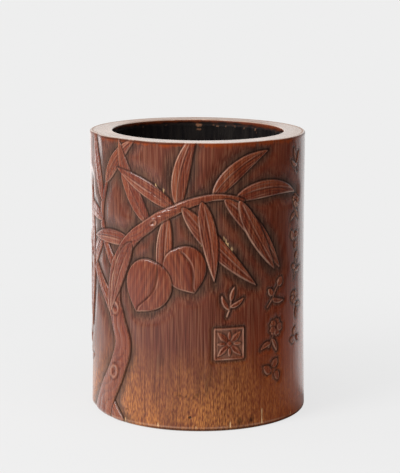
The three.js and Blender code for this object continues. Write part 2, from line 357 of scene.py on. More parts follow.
def framed_flower(carving, centre, width, tall, line=1.1):
    """A small raised frame with an eight-petalled flower inside."""
    middle = np.array(centre, float)
    window, x, y = carving.round_about(middle, tall / 2 + SMALL_REACH + 1)
    corner = 1.0
    past_x = np.maximum(np.abs(x) - width / 2 + corner, 0)
    past_y = np.maximum(np.abs(y) - tall / 2 + corner, 0)
    outside = np.hypot(past_x, past_y) - corner
    frame_top = np.full(x.shape, 0.62)
    settle(carving, window, np.minimum(-outside, line + outside), frame_top, 0.4, small=True, undercut=0)
    carving.apart_small[window] = np.minimum(carving.apart_small[window], np.maximum(outside, 0))
    reach = min(width, tall) / 2 - line
    for angle in (45, 135, 225, 315):
        leaf(carving, middle + 1.2 * heading(angle), angle, reach * 1.08, 4.4, 0, 0.42, 0.1, True)
    for angle in (0, 90, 180, 270):
        petal(carving, middle + 0.62 * reach * heading(angle), angle, 4.2, 1.7, level=0.36)
    boss_radius = 1.35
    window, x, y = carving.round_about(middle, 3)
    far = np.hypot(x, y)
    boss_top = 0.5 + 0.15 * (1 - (far / boss_radius) ** 2)
    settle(carving, window, boss_radius - far, boss_top, 0.4, small=True)


def sprig(carving, centre, kind, turn=0.0, size=1.0):
    """A small scattered ornament: a flower, buds on a twig, loose petals or a leafy twig."""
    cosine, sine = heading(turn)

    def at(dx, dy):
        return np.array(centre) + size * np.array([dx * cosine - dy * sine, dx * sine + dy * cosine])

    def twig(*points):
        line = [(*at(x, y), size) for x, y in points]
        bough(carving, line, level=0.45, small=True, bark=0)

    def leaflet(x, y, angle, length, bend, level=0.45):
        leaf(carving, at(x, y), angle + turn, length * size, 3.1 * size, bend, level, 0.1, True)

    def bud(x, y, angle, length, width):
        petal(carving, at(x, y), angle + turn, length * size, width * size)

    if kind == "flower":
        twig((-1, -7.5), (-0.4, -4), (0, 0))
        leaflet(-0.6, -5.2, 205, 7.0, 40)
        leaflet(-0.2, -3.4, -30, 7.0, -30)
        blossom(carving, at(0.2, 2.6), 4.6 * size, 90 + turn)
    elif kind == "buds":
        twig((-3.5, -6), (-1, -2), (0.5, 2), (2.5, 5.5))
        bud(3.2, 6.6, 62, 4.6, 3.6)
        bud(-2.6, 1.2, 140, 4.2, 3.2)
        leaflet(-1, -2, -20, 8.0, 35)
    elif kind == "petals":
        bud(-1.5, 3.4, 70, 5.2, 3.9)
        bud(2.8, -0.4, -25, 4.8, 3.5)
        bud(-2.8, -3.8, 215, 4.4, 3.2)
    else:
        twig((0, -6.5), (0.4, -2), (0, 2))
        leaflet(0.3, -3, 150, 8.5, -35)
        leaflet(0.3, -1.6, 28, 8.5, 35, 0.48)
        leaflet(0, 1.4, 96, 7.5, -12, 0.5)


# Splits at the foot are (bearing in degrees, height, width)
FOOT_SPLITS = [
    (-41.5, 3.8, 0.34), (-21, 4.5, 0.36), (-1, 3.8, 0.36), (16.8, 5.8, 0.46), (35.2, 11.4, 0.5),
    (58, 4, 0.34), (96, 6, 0.4), (141, 4, 0.36), (187, 7, 0.4), (233, 4, 0.36), (288, 5, 0.4),
]
# Scuffs are (along, up, turn in degrees, half their length and thickness, darkness)
SCUFFS = [
    (-9.4, 19.0, -16, 2.6, 0.7, 0.6), (-6.4, 18.5, 24, 1.9, 0.6, 0.5), (-1.0, 19.1, 46, 2.3, 0.85, 0.75),
    (21.9, 4.6, 86, 2.1, 1.4, 0.85), (24.2, 3.6, 60, 1.3, 1.0, 0.6), (28.4, 4.8, 80, 2.4, 1.5, 0.9),
    (-40, 8, 20, 1.5, 0.6, 0.7), (34, 22, 85, 1.6, 0.7, 0.4), (12, 11, 60, 0.6, 0.35, 0.5),
    (5, 27, 84, 1.8, 0.4, 0.5), (150, 12, 15, 1.6, 0.7, 0.8), (-130, 15, -20, 1.6, 0.6, 0.8),
]
# Soft grey stains are (along, up, width, height)
STAINS = [
    (-20.5, 35, 1.8, 6.5), (-17, 33, 1.9, 7), (3, 24, 3.5, 5), (120, 30, 4, 9), (-150, 24, 5, 8),
    (-58, 139, 9, 9), (-66, 122, 6, 12),
]
# Flakes are (along, up, size)
FLAKES = [
    (-15.5, 121, 0.7), (-14.6, 118, 0.6), (-34, 86, 0.5), (-84, 88, 0.7), (2.5, 100, 0.5),
    (1.8, 97.5, 0.4), (14, 104, 1.6), (15.5, 98, 1.8), (17.5, 94, 1.4), (-22.5, 127.5, 1.6),
    (-18, 123.5, 1.4), (-31, 112, 1.2), (32, 103, 1.2), (-46, 128, 1.1),
]

# The picture: points are (along, up, width) for boughs, in millimetres
TRUNK = [
    (-66, -6, 19), (-60, 8, 15.5), (-49, 26, 13), (-44, 44, 11.6), (-50, 62, 11), (-49, 80, 10),
    (-39, 96, 8.8), (-25, 108, 7.6), (-9, 117, 6.2), (6, 122, 5), (17, 122, 3.6), (24, 120, 2.2),
]
TRUNK_KNOTS = [(0.2, 0.9, 3.1), (0.4, -1, 2.8), (0.58, 0.7, 2.2), (0.72, -0.6, 1.7)]
ROOT = [(-58, 13, 8), (-50, 5, 7), (-42, -3, 6)]
BACK_BOUGH = [(-50, 58, 8), (-61, 70, 7), (-75, 84, 6), (-90, 94, 5.2), (-108, 98, 4.2), (-124, 93, 2.6)]
SPUR = [(-48, 80, 6), (-58, 94, 5), (-62, 110, 3.8), (-57, 126, 2.4)]

# Leaves are (start, angle, length, width, bend, level)
LEAVES_BEHIND = [
    ((-61, 106), 160, 40, 11, 30, 0.5), ((-61, 116), 116, 40, 11, -22, 0.55),
    ((-57, 126), 62, 34, 10.5, -30, 0.6), ((-60, 98), 222, 38, 11, 22, 0.5),
    ((-26, 107), 128, 48, 12, -26, 0.5), ((-38, 97), 172, 34, 10.5, 20, 0.55),
    ((-10, 117), 92, 42, 12, -34, 0.5), ((-12, 116), 146, 40, 11, 12, 0.55),
    ((8, 122), 56, 40, 12, -40, 0.5), ((-16, 112), 262, 46, 12, 12, 0.55),
    ((20, 121), 22, 44, 12, -44, 0.6),
]
LEAVES_BEFORE = [
    ((-37, 97), 238, 42, 12, 20, 0.95), ((-8, 117), 308, 58, 13.5, 12, 0.85),
    ((2, 120), 284, 42, 12, -10, 1.0), ((14, 121), 320, 52, 13, -16, 0.9),
    ((22, 120), 296, 44, 12, 10, 1.0),
]
LEAVES_AT_THE_BACK = [
    ((-74, 84), 108, 42, 11, -25, 0.6), ((-74, 84), 252, 40, 11, 18, 0.9),
    ((-90, 94), 135, 42, 11.5, -20, 0.6), ((-88, 93), 226, 38, 11, 25, 0.95),
    ((-93, 94), 274, 46, 12, 14, 0.9), ((-108, 98), 98, 40, 11, 25, 0.6),
    ((-110, 98), 205, 38, 10.5, 30, 0.7), ((-124, 93), 168, 42, 11, 30, 0.8),
    ((-123, 93), 222, 40, 11, 20, 0.9), ((-110, 97), 262, 42, 11.5, -15, 0.95),
]
# Peaches are (centre, radius, direction of the point, level)
PEACHES = [((-7, 86), 11.5, 292, 0.7), ((-27, 76), 13.5, 244, 0.85), ((-100, 73), 12.5, 262, 0.8)]
FRAME_CENTRE = (16.5, 46)
FRAME_WIDTH = 16.5
FRAME_TALL = 17
# Scattered ornaments are (along, up, kind, turn, size)
SCATTERED = [
    (17, 67, "leaves", -15, 1.05), (44, 69, "buds", -8, 1.1), (44, 49, "flower", -20, 1.1),
    (43, 30, "petals", 70, 1.1), (63, 137, "leaves", 20, 0.85), (63.5, 114, "flower", -10, 0.85),
    (62.5, 97, "petals", 40, 0.9), (63.5, 81, "buds", 15, 0.85), (63, 63, "flower", 35, 0.85),
    (62.5, 44, "petals", 100, 0.9), (98, 122, "petals", 20, 1.1), (104, 88, "flower", -30, 1.2),
    (96, 54, "petals", 200, 1.1), (132, 116, "flower", 25, 1.3), (138, 78, "petals", 120, 1.2),
    (128, 44, "buds", -10, 1.2), (166, 96, "petals", -40, 1.2), (170, 52, "leaves", 15, 1.3),
    (-160, 62, "petals", 60, 1.2), (-136, 44, "flower", 10, 1.3), (-104, 38, "petals", 10, 1.1),
    (-84, 30, "buds", 20, 1.1),
]


def peach_tree(carving):
    """The motifs in the order that they lie on each other, the lowest first."""
    bough(carving, BACK_BOUGH, level=0.7)
    bough(carving, SPUR, level=0.65)
    for start, angle, length, width, bend, level in LEAVES_BEHIND:
        leaf(carving, start, angle, length, width, bend, level)
    for centre, size, point, level in PEACHES:
        peach(carving, centre, size, point, level)
    bough(carving, ROOT, level=0.8)
    bough(carving, TRUNK, knots=TRUNK_KNOTS)
    for start, angle, length, width, bend, level in LEAVES_BEFORE + LEAVES_AT_THE_BACK:
        leaf(carving, start, angle, length, width, bend, level)
    framed_flower(carving, FRAME_CENTRE, FRAME_WIDTH, FRAME_TALL)
    for along, up, kind, turn, size in SCATTERED:
        sprig(carving, (along, up), kind, turn, size)


def mottle(along, up, cell_along, cell_up, seed):
    """Soft random unevenness from 0 to 1, with cells of a given size, that closes round the pot."""
    columns = max(3, round(TURN / cell_along))
    rows = int(POT_HEIGHT / cell_up) + 3
    knots = np.random.default_rng(seed).random((rows, columns))
    x = (along / TURN + 0.5) * columns
    y = up / cell_up + 0.5
    left, low = np.floor(x).astype(int), np.floor(y).astype(int)
    fx, fy = smooth(0, 1, x - left), smooth(0, 1, y - low)
    left, right = left % columns, (left + 1) % columns
    low = np.clip(low, 0, rows - 2)
    lower = knots[low, left] * (1 - fx) + knots[low, right] * fx
    upper = knots[low + 1, left] * (1 - fx) + knots[low + 1, right] * fx
    return lower * (1 - fy) + upper * fy


def blurred(field, reach_mm):
    """A running mean over a square, wrapped round the pot and held at its edges."""
    step = max(1, round(reach_mm / (TURN / COLUMNS)))
    padded = np.pad(field, ((0, 0), (step, step)), mode="wrap")
    padded = np.pad(padded, ((step, step), (0, 0)), mode="edge")
    slices = range(2 * step + 1)
    rows = sum(padded[start:start + WALL_ROWS] for start in slices)
    return sum(rows[:, start:start + COLUMNS] for start in slices) / len(slices) ** 2


def wall_fibre(along, up):
    """Fine upright ridges of the bamboo's fibres, and the tube's gentle unevenness."""
    fine = 0.05 * (mottle(along, up, 0.8, 30, 12) - 0.5)
    wide = 0.03 * (mottle(along, up, 2.4, 60, 13) - 0.5)
    sway = 0.35 * (mottle(along, up, 40, 60, 14) - 0.5)
    return fine + wide, sway


def carved_surface():
    """The carved wall's height against the uncut tube, and masks of its working and of painted light and
    shade.
    """
    carving = Carving()
    peach_tree(carving)
    along, up = carving.along, carving.up
    large = GROUND_DEPTH * (1 - smooth(GROUND_FLAT, GROUND_REACH, carving.apart))
    large = blurred(blurred(large, 1.2), 1.2)
    # Round the column of ornaments at the right edge the ground is hardly cut
    shallower = 1 - 0.85 * between(48, 56, 84, 96, along)
    small = SMALL_DEPTH * (1 - smooth(SMALL_FLAT, SMALL_REACH, carving.apart_small))
    beside_motif = np.minimum(carving.apart, carving.apart_small)
    ground = np.maximum(large, shallower * small) + 0.24 * shallower * bell(beside_motif, 0.9)
    raised = smooth(0.05, 0.3, carving.height)
    cut = smooth(0.2, 1.15, ground) * (1 - raised)
    tool_marks = 0.12 * (mottle(along, up, 1.7, 3.4, 11) - 0.5) * cut
    fibre, sway = wall_fibre(along, up)
    relief = (RELIEF * carving.height - ground) * smooth(0.5, 5, up) + tool_marks + fibre
    standing_out = relief - blurred(blurred(relief, 0.4), 0.4)
    rubbed = 0.12 + 1.15 * mottle(along, up, 5, 5, 15)
    ragged = 3.4 * mottle(along, up, 7, 7, 16) + 0.4 * mottle(along, up, 1.8, 6, 17)
    scraped = 1 - smooth(0.3, 6.4, carving.apart + ragged - 1.7)
    scraped = np.maximum(scraped, 0.8 * (1 - smooth(0.4, 2.4, carving.apart_small)))
    # Pale edges are rubbed lines plus painted highlight on whatever stands out; the dark mask is painted
    # shade beside motifs and in whatever lies sunk, and wear adds scuffs to it
    masks = {
        "raised": carving.polish,
        "strand": carving.strand,
        "sunk": scraped * (1 - raised),
        "edge": np.maximum(carving.lip * rubbed, 0.7 * smooth(0.08, 0.3, standing_out)),
        "painted_shade_and_scuffs": np.maximum(carving.corner, 0.8 * smooth(0.06, 0.25, -standing_out)),
        "split": 0 * along,
    }
    relief = wear(carving, relief, masks, raised)
    # The tube is a little fuller along its left side
    fuller = 0.7 * smooth(20, 42, up) * bell(along + 88, 24)
    return relief + sway + fuller, masks


def wear(carving, relief, masks, raised):
    """What use and age did to the wall: rubbed rim and foot, splits, scratches, stains, lost flakes,
    and the pits round the pegs, with painted shade under the rim, along the foot and round the pegs,
    and a painted highlight on the foot's edge. Marks it in the masks and gives the relief with it."""
    along, up = carving.along, carving.up

    def mark(label, shown):
        masks[label] = np.maximum(masks[label], shown)

    # Under the rim runs a dark line of painted shade, and below it a ragged band worn through to bare
    # bamboo
    drop = POT_HEIGHT - up
    front = between(-66, -50, 52, 78, along)
    middle = between(-18, 8, 44, 66, along)
    ragged = 1.3 * mottle(along, up, 5, 4, 31) + 1.1 * mottle(along, up, 1.4, 9, 32)
    masks["rubbed"] = (0.3 + 0.7 * front) * (1 - smooth(0.8, 3.0, drop + 1.3 * ragged - 1.3))
    far_round = smooth(54, 72, np.abs(along))
    rim_shade = (0.85 - 0.55 * middle - 0.5 * far_round) * (1 - smooth(0.9, 1.4, drop))
    mark("painted_shade_and_scuffs", rim_shade)
    # The foot's edge is rubbed to a pale line that is partly painted highlight, with a dark line
    # of painted contact shadow below it
    foot_front = between(-48, -20, 62, 76, along)
    mark("painted_shade_and_scuffs", (0.25 + 0.75 * foot_front) * (1 - smooth(1.2, 1.7, up)))
    mark("edge", bell(up - 2.0, 0.45) * (0.3 + 0.5 * mottle(along, up, 6, 4, 34)))
    # Short splits run up from the foot
    for angle, tall, wide in FOOT_SPLITS:
        across = np.abs(nearest(along, math.radians(angle) * RIM_RADIUS))
        wander = 0.12 * np.sin(up * 0.7 + angle)
        line = bell(across + wander, wide) * (1 - smooth(0.75 * tall, tall, up)) * smooth(1.2, 1.9, up)
        line = line * smooth(0.05, 0.4, mottle(along, up, 0.9, 1.8, 38))
        relief = relief - 0.3 * line
        mark("split", line)
    # Dark scratches and stains
    for along_at, up_at, turn, length, thick, dark in SCUFFS:
        cosine, sine = heading(turn)
        x, y = along - along_at, up - up_at
        scuff = bell(x * cosine + y * sine, length) * bell(y * cosine - x * sine, thick)
        mark("painted_shade_and_scuffs", dark * scuff * smooth(-0.1, 0.45, mottle(along, up, 1.0, 1.4, 35)))
    for along_at, up_at, width, tall in STAINS:
        stain = bell(along - along_at, width) * bell(up - up_at, tall)
        mark("sunk", 0.6 * stain * smooth(0.1, 0.7, mottle(along, up, 1.4, 7, 36)))
    # Flakes lost where the ground meets the motifs
    beside_edge = (1 - raised) * (1 - smooth(1.4, 2.8, carving.apart))
    for along_at, up_at, size in FLAKES:
        flake = bell(np.hypot(nearest(along, along_at), 0.35 * (up - up_at)), 1.2 * size)
        flake = flake * smooth(0.42, 0.62, mottle(along, up, 0.75, 1.9, 33)) * beside_edge
        relief = relief - 0.2 * flake
        mark("split", 0.72 * flake)
    # The pegs stand in small round pits, painted dark round each peg as shade
    for bearing in PEG_BEARINGS:
        far = np.hypot(nearest(along, bearing * RIM_RADIUS), up - PEG_HEIGHT)
        near = 1 - smooth(2.5, 6, far)
        relief = relief * (1 - near) - 0.5 * (1 - smooth(0.55, 0.85, far))
        mark("painted_shade_and_scuffs", bell(far - 0.45, 0.3))
    return relief


# Meshes


def even_columns(count):
    """Evenly spaced bearings once round the axis, in radians, with 0 at the front."""
    return (np.arange(count) / count - 0.5) * 2 * math.pi


def at_each(rows, item, turn):
    """One item of each row, given at every column."""
    return np.array([row[item] + 0 * turn for row in rows])


def ring_mesh(name, turn, rows, masks=(), closed=True, lean=LEAN):
    """A skin of quads from rings, each a row of radius and height at every column's bearing, and the
    share of the bake's map that it takes. A closed skin joins its last ring to its first; an open
    one gets a face at each end."""
    radius, height = at_each(rows, 0, turn), at_each(rows, 1, turn)
    across = np.concatenate([[0], np.cumsum([row[2] for row in rows])])
    across = across / across[-1]
    rows, columns = radius.shape
    sideways = radius * np.sin(turn) - lean * height
    corners = np.stack([sideways, -radius * np.cos(turn), height], -1).reshape(-1, 3) * MM
    last = rows if closed else rows - 1
    row, column = np.meshgrid(np.arange(last), np.arange(columns), indexing="ij")
    start, next_start = row * columns, (row + 1) % rows * columns
    next_column = (column + 1) % columns
    quads = [start + column, start + next_column, next_start + next_column, next_start + column]
    faces = np.stack(quads, -1).reshape(-1, 4).tolist()
    left, right = column / columns, (column + 1) / columns
    low, high = across[row], across[row + 1]
    spots = np.stack([left, low, right, low, right, high, left, high], -1).reshape(-1, 2)
    if not closed:
        first_ring, last_ring = np.arange(columns), np.arange(columns) + (rows - 1) * columns
        faces += [first_ring[::-1].tolist(), last_ring.tolist()]
        level = np.repeat([across[0], across[-2]], columns)
        spots = np.concatenate([spots, np.stack([np.tile(np.arange(columns) / columns, 2), level], -1)])
    mesh = bpy.data.meshes.new(name)
    mesh.from_pydata(corners, [], faces, shade_flat=False)
    for label, values in dict(masks).items():
        layer = mesh.attributes.new(label, "FLOAT", "POINT")
        layer.data.foreach_set("value", values.astype(np.float32).ravel())
    layer = mesh.uv_layers.new(name="OFBake")
    layer.uv.foreach_set("vector", spots.astype(np.float32).ravel())
    mesh.validate()
    return mesh


def in_scene(data):
    """An object in the scene that shows a mesh, a lamp or a camera, and is called what that is."""
    made = bpy.data.objects.new(data.name, data)
    bpy.context.scene.collection.objects.link(made)
    return made


def piece_from(mesh, material, node):
    """A piece of the pot that takes the place of a node of the frame."""
    mesh.materials.append(material)
    piece = in_scene(mesh)
    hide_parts(node)
    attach(piece, BODY)


def arc(centre_radius, centre_height, size, start, end, steps):
    """Rows of a round edge, from one angle in degrees to another."""
    for share in np.linspace(0, 1, steps + 1):
        angle = math.radians(start + (end - start) * share)
        yield centre_radius + size * math.cos(angle), centre_height + size * math.sin(angle)


def culm_wall_mesh():
    """The carved tube: foot ring, carved outside, rim and bore, as one closed skin."""
    height, masks = carved_surface()
    turn = even_columns(COLUMNS)
    levels = np.linspace(0, POT_HEIGHT, WALL_ROWS)
    spacing = levels[1]

    def at_level(field, level):
        """The field at a level that may differ from column to column."""
        place = np.clip(np.broadcast_to(level, turn.shape) / spacing, 0, WALL_ROWS - 1.001)
        low = place.astype(int)
        share = place - low
        columns = np.arange(COLUMNS)
        return field[low, columns] * (1 - share) + field[low + 1, columns] * share

    rows, shown = [], []

    def add_row(radius, level, depth, end=0.0, carved=None, bare=0.0, aged=0.0):
        """One ring of the skin, with its share of the map and what it shows."""
        rows.append((radius, level, depth))
        fields = [0.0 if carved is None else at_level(field, carved) for field in masks.values()]
        shown.append((*fields, end, bare, aged))

    # At the left the foot's outer edge is worn rounder
    foot_round = FOOT_OUTER_ROUND + 1.7 * bell(turn + 1.25, 0.45)
    foot_edge = outer_radius(foot_round) + at_level(height, foot_round)
    foot_inner = SEAT_RADIUS + FOOT_INNER_ROUND
    for share in np.linspace(0, 1, 10)[:-1]:
        radius = foot_inner + (foot_edge - foot_round - foot_inner) * share
        add_row(radius, 0.0, 1.0, end=1.0)
    for radius, level in arc(foot_edge - foot_round, foot_round, foot_round, -90, 0, 5):
        turned_up = np.mean(level / foot_round)
        add_row(radius, level, 0.6, end=1 - smooth(0, 0.5, turned_up), carved=foot_round)
    rim_top = POT_HEIGHT + 0 * turn
    rim_edge_level = rim_top - RIM_OUTER_ROUND
    for share in np.linspace(0, 1, WALL_ROWS)[1:-1]:
        level = foot_round + (rim_edge_level - foot_round) * share
        add_row(outer_radius(level) + at_level(height, level), level, 1.0, carved=level)
    rim_edge = outer_radius(rim_edge_level) + at_level(height, rim_edge_level)
    for radius, level in arc(rim_edge - RIM_OUTER_ROUND, rim_edge_level, RIM_OUTER_ROUND, 0, 90, 6):
        lifted = (level - rim_edge_level) / RIM_OUTER_ROUND
        add_row(radius, level, 0.6, end=smooth(0.6, 1, lifted), carved=rim_edge_level)
    rim_inner = BORE_RADIUS + RIM_INNER_ROUND
    for share in np.linspace(0, 1, 24)[1:-1]:
        radius = (rim_edge - RIM_OUTER_ROUND) * (1 - share) + rim_inner * share
        worn = 0.12 * mottle(turn * RIM_RADIUS, 60 + 40 * share, 26, 20, 21) * math.sin(math.pi * share)
        add_row(radius, rim_top - worn, 1.0, end=1.0, aged=browned(turn, share))
    for radius, level in arc(rim_inner, rim_top - RIM_INNER_ROUND, RIM_INNER_ROUND, 90, 180, 6):
        sunk = (rim_top - level) / RIM_INNER_ROUND
        add_row(radius, level, 0.6, end=1 - smooth(0.4, 0.9, sunk), bare=smooth(0.4, 0.9, sunk))
    # The bore's rings lie closest where the lacquer begins
    for drop in (1.5, 1.8, 2.1, 2.4, 2.7, 3.0, 3.4, 4.0, 5.0, 6.0, 10.0, 50.0, 100.0):
        add_row(BORE_RADIUS, POT_HEIGHT - drop, 0.6, bare=1.0)
    for radius in (BORE_RADIUS, SEAT_RADIUS):
        add_row(radius, SHOULDER_HEIGHT, 0.6, bare=1.0)
    for radius, level in arc(foot_inner, FOOT_INNER_ROUND, FOOT_INNER_ROUND, 180, 270, 4):
        add_row(radius, level, 0.6, end=1.0)
    # The last ring of the foot's edge is the first of all
    del rows[-1], shown[-1]
    labels = (*masks, "end", "bare", "aged")
    table = {label: at_each(shown, place, turn) for place, label in enumerate(labels)}
    level = at_each(rows, 1, turn)
    lining = at_each(rows, 0, turn) < BORE_RADIUS + 0.4
    table["stained"] = lining * stained_black(turn, level)
    return ring_mesh("carved_culm_wall", turn, rows, table)


def browned(bearing, inward):
    """How far the sawn rim has browned: along its outer edge, most of all at the back, and round
    the bore at the back."""
    at_back = smooth(1.8, 2.5, np.abs(bearing))
    outer_edge = (1 - smooth(0.0, 0.16, inward)) * (0.35 + 0.65 * smooth(0.9, 1.6, np.abs(bearing)))
    inner_edge = smooth(0.6, 1.0, inward) * at_back
    stains = mottle(bearing * RIM_RADIUS, 40 * inward, 14, 9, 22)
    streaks = np.maximum(0, mottle(bearing * RIM_RADIUS, 60 * inward, 34, 5, 23) - 0.5)
    worn_back = at_back * (0.15 + 0.4 * stains)
    sides = 0.15 * smooth(0.4, 1.2, np.abs(bearing))
    return np.clip(outer_edge + 0.8 * inner_edge + worn_back + 0.5 * streaks + sides, 0, 1)


def stained_black(bearing, level):
    """How far the lacquer has blackened the bore's top: its brown darkens downwards, over a longer
    way on the right of the back, and at one spot straight behind."""
    around = bearing * BORE_RADIUS
    brown = between(1.65, 1.95, 2.3, 2.75, bearing)
    brown = brown + 0.35 * between(1.9, 2.3, 2.6, 2.9, -bearing)
    spot_behind = bell(math.pi - np.abs(bearing), 0.035)
    ragged = 1.5 * (mottle(around, level, 2.2, 1.6, 41) - 0.5)
    return smooth(0.3, 1.8 + 1.5 * brown + 0.9 * spot_behind + ragged, POT_HEIGHT - level)


# Chips in the lacquer are (bearing in degrees from the front, drop from its top, width, height,
# how far the coat is gone)
CHIPS = [
    (179.6, 0.6, 3.2, 2.0, 1.0), (179.2, 3.0, 2.6, 0.8, 0.7), (169, 0.6, 1.2, 0.6, 0.6),
    (166.5, 1.2, 1.6, 0.8, 0.7), (160, 1.0, 0.9, 0.7, 0.5), (153, 0.8, 0.9, 0.9, 0.5),
    (146, 1.6, 0.8, 1.1, 0.4), (136, 1.3, 1.1, 1.6, 0.5), (135, 3.2, 0.8, 0.7, 0.4),
    (203, 0.5, 1.5, 0.5, 0.4), (222, 0.6, 1.2, 0.5, 0.5), (112, 0.9, 1.2, 0.7, 0.5),
    (70, 0.8, 1.4, 0.8, 0.6), (20, 0.7, 1.6, 0.7, 0.6), (-44, 0.6, 1.2, 0.6, 0.6),
    (-80, 1.0, 1.6, 0.8, 0.6),
]
LINING_COLUMNS = 720


def lacquer_mesh():
    """The lacquer inside as a thin cup, with a ragged, chipped upper edge."""
    turn = even_columns(LINING_COLUMNS)
    around = turn * BORE_RADIUS
    uneven = 0.6 * mottle(around, 20, 7, 20, 51) + 0.3 * mottle(around, 20, 1.6, 20, 57)
    top = LACQUER_TOP + 0.9 - uneven
    # The coat lies on the bore, a hair inside it, and thins out over its uppermost 12 mm
    outer = BORE_RADIUS - 0.02
    inner = LACQUER_RADIUS - LACQUER_THICKNESS
    floor_low, floor_top = LACQUER_BOTTOM, LACQUER_BOTTOM + LACQUER_THICKNESS
    rows = [(radius, floor_low, 1.0) for radius in (HUB_RADIUS, 20, 40, outer - 0.3)]
    rows += [(outer, level, 1.0) for level in (floor_low + 0.3, 60, 120, top - 0.1)]
    first_inside = len(rows)
    rows += [(outer - 0.06, top, 1.0), (outer - 0.11, top - 0.03, 1.0)]
    for share in np.linspace(0, 1, 90):
        level = top - 0.06 - (top - floor_top - LACQUER_CORNER) * share**1.4
        wave = 0.08 * (mottle(around, level, 30, 40, 52) - 0.5)
        thin = (outer - 0.12 - inner) * (1 - smooth(0, 12, top - level))
        rows.append((inner + thin + wave, level, 1.0))
    corner = inner - LACQUER_CORNER
    for radius, level in arc(corner, floor_top + LACQUER_CORNER, LACQUER_CORNER, 0, -90, 6):
        rows.append((radius, level, 0.4))
    for share in np.linspace(0, 1, 24)[1:]:
        radius = corner * (1 - share) + HUB_RADIUS * share
        uneven = 0.15 * (mottle(turn * radius, 30 + radius, 14, 12, 53) - 0.5)
        rows.append((radius, floor_top + uneven * (1 - share), 1.0))
    level = at_each(rows, 1, turn)
    from_top = top - level
    inside = np.arange(len(rows))[:, None] >= first_inside
    ragged = 1.4 * mottle(around, level, 1.6, 1.2, 55)
    rubbed_brown = 0.15 + 0.85 * between(1.65, 1.95, 2.75, 3.0, turn)
    worn = inside * rubbed_brown * (1 - smooth(0.1, 0.9, from_top + ragged - 0.5))
    chipped = np.zeros(level.shape)
    for bearing, drop, width, tall, gone in CHIPS:
        across = nearest(turn, math.radians(bearing), 2 * math.pi)
        reach = np.hypot(across * BORE_RADIUS / (width / 2), (from_top - drop) / (tall / 2))
        uneven = 0.9 * (mottle(around, level, 0.7, 0.6, 56) - 0.5)
        chipped = np.maximum(chipped, gone * inside * (1 - smooth(0.7, 1.15, reach + uneven)))
    dusty = inside * (1 - smooth(0, 3, level - floor_top))
    masks = {"worn": worn, "chipped": chipped, "dusty": dusty, "lip": 1 - smooth(0.3, 1.4, from_top)}
    return ring_mesh("lacquer_coat", turn, rows, masks, closed=False)


def disc_mesh():
    """The turned floor disc: chamfered below, with faint rings from the lathe."""
    flat = DISC_RADIUS - DISC_CHAMFER
    rows = []
    for radius in np.linspace(HUB_RADIUS, flat, 60):
        rows.append((radius, DISC_BOTTOM + 0.05 * math.sin(radius * 2.1), 1.0))
    rows += [(flat, DISC_BOTTOM, 0.3), (DISC_RADIUS, DISC_BOTTOM + DISC_CHAMFER, 1.0)]
    rows += [(DISC_RADIUS, DISC_TOP - 0.3, 0.5), (DISC_RADIUS - 0.3, DISC_TOP, 1.0)]
    rows += [(20, DISC_TOP, 1.0), (HUB_RADIUS, DISC_TOP, 1.0)]
    return ring_mesh("floor_disc", even_columns(240), rows, closed=False)


def peg_mesh(number, bearing):
    """A tapered peg that lies along a radius, with a slightly domed outer end."""
    front = outer_radius(PEG_HEIGHT) - PEG_INSET
    tip = DISC_RADIUS - PEG_REACH
    rows = [(0.05, tip), (PEG_TIP_RADIUS - 0.15, tip), (PEG_TIP_RADIUS, tip + 0.2)]
    rows += [(PEG_FRONT_RADIUS, front - 0.25), (PEG_FRONT_RADIUS - 0.12, front - 0.08)]
    rows += [(0.6 * PEG_FRONT_RADIUS, front), (0.05, front + 0.04)]
    rows = [(*row, 1.0) for row in rows]
    mesh = ring_mesh(f"peg_{number}", even_columns(24), rows, closed=False, lean=0.0)
    raised = Matrix.Translation((0, 0, PEG_HEIGHT * MM))
    mesh.transform(raised @ Matrix.Rotation(bearing, 4, "Z") @ Matrix.Rotation(math.pi / 2, 4, "X"))
    return mesh


# Materials


def linear(hex_colour):
    """An sRGB hex colour as the linear RGBA that shader sockets take."""
    channels = [int(hex_colour[at:at + 2], 16) / 255 for at in (1, 3, 5)]
    return [c / 12.92 if c <= 0.04045 else ((c + 0.055) / 1.055) ** 2.4 for c in channels] + [1.0]


def add(tree, kind, settings=(), links=()):
    """One node. A setting is a socket's value, a hex colour for it, or a property of the node. A
    link is a node, whose first working output is taken, or one of a node's outputs."""
    node = tree.nodes.new("ShaderNode" + kind)
    for key, value in dict(settings).items():
        if not isinstance(key, int) and key not in node.inputs:
            setattr(node, key, value)
        elif isinstance(value, str):
            node.inputs[key].default_value = linear(value)
        else:
            node.inputs[key].default_value = value
    for key, source in dict(links).items():
        if isinstance(source, bpy.types.Node):
            source = next(output for output in source.outputs if output.enabled)
        tree.links.new(source, node.inputs[key])
    return node


def new_material(name):
    """An empty material, its node tree, and the object coordinates that its patterns use."""
    material = bpy.data.materials.new(name)
    material.use_nodes = True
    material.node_tree.nodes.clear()
    place = add(material.node_tree, "TexCoord").outputs["Object"]
    return material, material.node_tree, place


def read_masks(tree, *labels):
    """The masks that a mesh carries, by their names."""
    return {label: add(tree, "Attribute", {"attribute_name": label}).outputs["Fac"] for label in labels}


def grain(tree, place, across, upright, detail=2.0, contrast=0.55):
    """A noise pattern with spots of a real size in millimetres, drawn out upright."""
    scale = (1000 / across, 1000 / across, 1000 / upright)
    sized = add(tree, "Mapping", {"Scale": scale}, {"Vector": place})
    settings = {"Scale": 1.0, "Detail": detail, "Roughness": contrast}
    return add(tree, "TexNoise", settings, {"Vector": sized})


